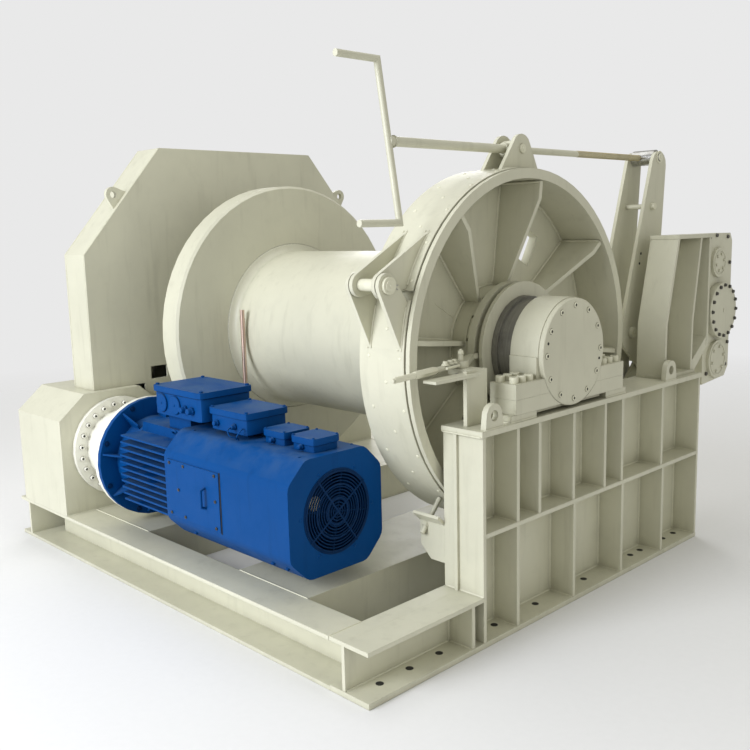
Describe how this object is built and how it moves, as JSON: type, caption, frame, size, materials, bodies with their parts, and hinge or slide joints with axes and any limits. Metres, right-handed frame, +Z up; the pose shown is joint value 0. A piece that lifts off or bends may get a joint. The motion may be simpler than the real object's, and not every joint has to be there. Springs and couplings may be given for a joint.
{
  "type": "electric drum winch",
  "caption": "Electric drum winch for mooring or towing: rope drum on a welded base, hinged band brake worked by a crank and lever, jaw clutch, guarded spur gears and geared motor.",
  "frame": {"origin": "middle of the footprint's bounding box, on the deck under the base", "axes": "+X along the drum shaft, from the gears to the bearing pedestal; +Y from the motor side to the brake lever side; +Z up"},
  "size_m": [3.056, 3.09, 2.4889],
  "materials": {
    "grey_paint": "satin pebble-grey deck paint",
    "cream_paint": "satin cream paint",
    "blue_paint": "semi-gloss blue motor paint",
    "dark_blue_paint": "dark blue paint in shade",
    "machined_steel": "turned or milled, oiled",
    "dark_steel": "dark, greased",
    "bronze": "turned bronze",
    "copper": "bare copper, lightly tarnished",
    "brake_lining": "matte moulded lining"
  },
  "bodies": {
    "base": {"base_front_beam": "grey_paint", "base_rear_beam": "grey_paint", "base_gear_end_beam": "grey_paint", "base_cross_beam": "grey_paint", "gear_bed_beam": "grey_paint", "bearing_pedestal": "grey_paint", "bearing_base": "grey_paint", "bearing_cap": "grey_paint", "bearing_ring": "machined_steel", "bearing_end_cover": "grey_paint", "clutch_post": "grey_paint", "band_adjuster": "grey_paint", "lever_bracket": "grey_paint", "guard_front_plate": "grey_paint", "guard_back_plate": "grey_paint", "guard_rim": "grey_paint", "gearcase_front_plate": "grey_paint", "gearcase_shell": "grey_paint", "planetary_reducer": "cream_paint", "gear_end_stand": "grey_paint", "gear_end_bearing": "grey_paint", "motor_end_shield": "blue_paint", "motor_frame": "blue_paint", "motor_cowl": "blue_paint", "fan_grille": "dark_blue_paint", "terminal_box": "blue_paint", "small_terminal_box": "blue_paint", "blower_box_1": "blue_paint", "blower_box_2": "blue_paint", "cowl_side_panel": "blue_paint", "aux_bracket": "grey_paint", "aux_gearbox": "grey_paint", "aux_cover": "grey_paint", "upright_rod": "copper"},
    "shaft": {"main_shaft": "machined_steel", "clutch_hub": "dark_steel", "main_gear": "machined_steel"},
    "drum": {"flange_bush": "bronze", "brake_bush": "bronze", "rope_flange": "grey_paint", "rope_barrel": "grey_paint", "brake_rim": "grey_paint", "brake_web": "grey_paint"},
    "clutch_sleeve": {"clutch_sleeve": "grey_paint"},
    "pinion": {"pinion": "machined_steel"},
    "rotor": {"rotor_shaft": "machined_steel", "cooling_fan": "dark_blue_paint"},
    "shift_handle": {"shift_handle": "machined_steel"},
    "spindle": {"brake_spindle": "machined_steel"},
    "band_trunnion": {"band_trunnion": "grey_paint"},
    "upper_band": {"upper_band": "grey_paint", "upper_lining": "brake_lining"},
    "lower_band": {"lower_band": "grey_paint", "lower_lining": "brake_lining", "hinge_pin": "machined_steel"},
    "lever": {"lever_near_plate": "grey_paint", "lever_far_plate": "grey_paint"},
    "lever_nut": {"lever_nut": "machined_steel"},
    "tie": {"tie_bars": "grey_paint"}
  },
  "joints": [
    {"name": "drum_spin", "type": "hinge", "parent": "base", "child": "drum", "pos_m": [0, -0.198, 1.208], "axis": [1, 0, 0], "continuous": true},
    {"name": "shaft_spin", "type": "hinge", "parent": "base", "child": "shaft", "pos_m": [0, -0.198, 1.208], "axis": [1, 0, 0], "continuous": true},
    {"name": "pinion_spin", "type": "hinge", "parent": "base", "child": "pinion", "pos_m": [-1.1, -1.1953, 0.5805], "axis": [1, 0, 0], "continuous": true},
    {"name": "rotor_spin", "type": "hinge", "parent": "base", "child": "rotor", "pos_m": [-1.1, -1.1953, 0.5805], "axis": [1, 0, 0], "continuous": true},
    {"name": "shift_lever", "type": "hinge", "parent": "base", "child": "shift_handle", "pos_m": [1.307, -0.745, 1.2], "axis": [0, 0, 1], "range_deg": [-8, 0]},
    {"name": "clutch_slide", "type": "slide", "parent": "shaft", "child": "clutch_sleeve", "axis": [1, 0, 0], "range_m": [0, 0.0345]},
    {"name": "crank_turn", "type": "hinge", "parent": "band_trunnion", "child": "spindle", "pos_m": [1.1245, 0, 2.14], "axis": [0, 1, 0], "range_deg": [0, 1080]},
    {"name": "lever_swing", "type": "hinge", "parent": "base", "child": "lever", "pos_m": [0, 0.805, 1.18], "axis": [1, 0, 0], "range_deg": [-1, 0]},
    {"name": "lower_band_swing", "type": "hinge", "parent": "base", "child": "lower_band", "pos_m": [0, -1.10544, 1.55633], "axis": [1, 0, 0], "range_deg": [-0.1302, 0]},
    {"name": "upper_band_swing", "type": "hinge", "parent": "base", "child": "upper_band", "pos_m": [0, -1.10544, 1.55633], "axis": [1, 0, 0], "range_deg": [0, 0.2601]},
    {"name": "trunnion_swing", "type": "hinge", "parent": "upper_band", "child": "band_trunnion", "pos_m": [0, -0.145, 2.14], "axis": [1, 0, 0], "range_deg": [-0.684, 0]},
    {"name": "nut_swing", "type": "hinge", "parent": "lever", "child": "lever_nut", "pos_m": [0, 1.07, 2.14], "axis": [1, 0, 0], "range_deg": [0, 0.577]},
    {"name": "tie_swing", "type": "hinge", "parent": "lever", "child": "tie", "pos_m": [0, 0.975, 1.012], "axis": [1, 0, 0], "range_deg": [0, 1.07]}
  ],
  "couplings": [
    {"joint": "shaft_spin", "follows": "drum_spin", "ratio": 1},
    {"joint": "pinion_spin", "follows": "drum_spin", "ratio": -5.5556},
    {"joint": "rotor_spin", "follows": "drum_spin", "ratio": -27.778},
    {"joint": "clutch_slide", "follows": "shift_lever", "m_per_rad": -0.2445},
    {"joint": "lever_swing", "follows": "crank_turn", "ratio": -0.00092592},
    {"joint": "lower_band_swing", "follows": "crank_turn", "ratio": -0.0001205},
    {"joint": "upper_band_swing", "follows": "crank_turn", "ratio": 0.00024074},
    {"joint": "trunnion_swing", "follows": "crank_turn", "ratio": -0.00063284},
    {"joint": "nut_swing", "follows": "crank_turn", "ratio": 0.00053382},
    {"joint": "tie_swing", "follows": "crank_turn", "ratio": 0.00099095}
  ]
}
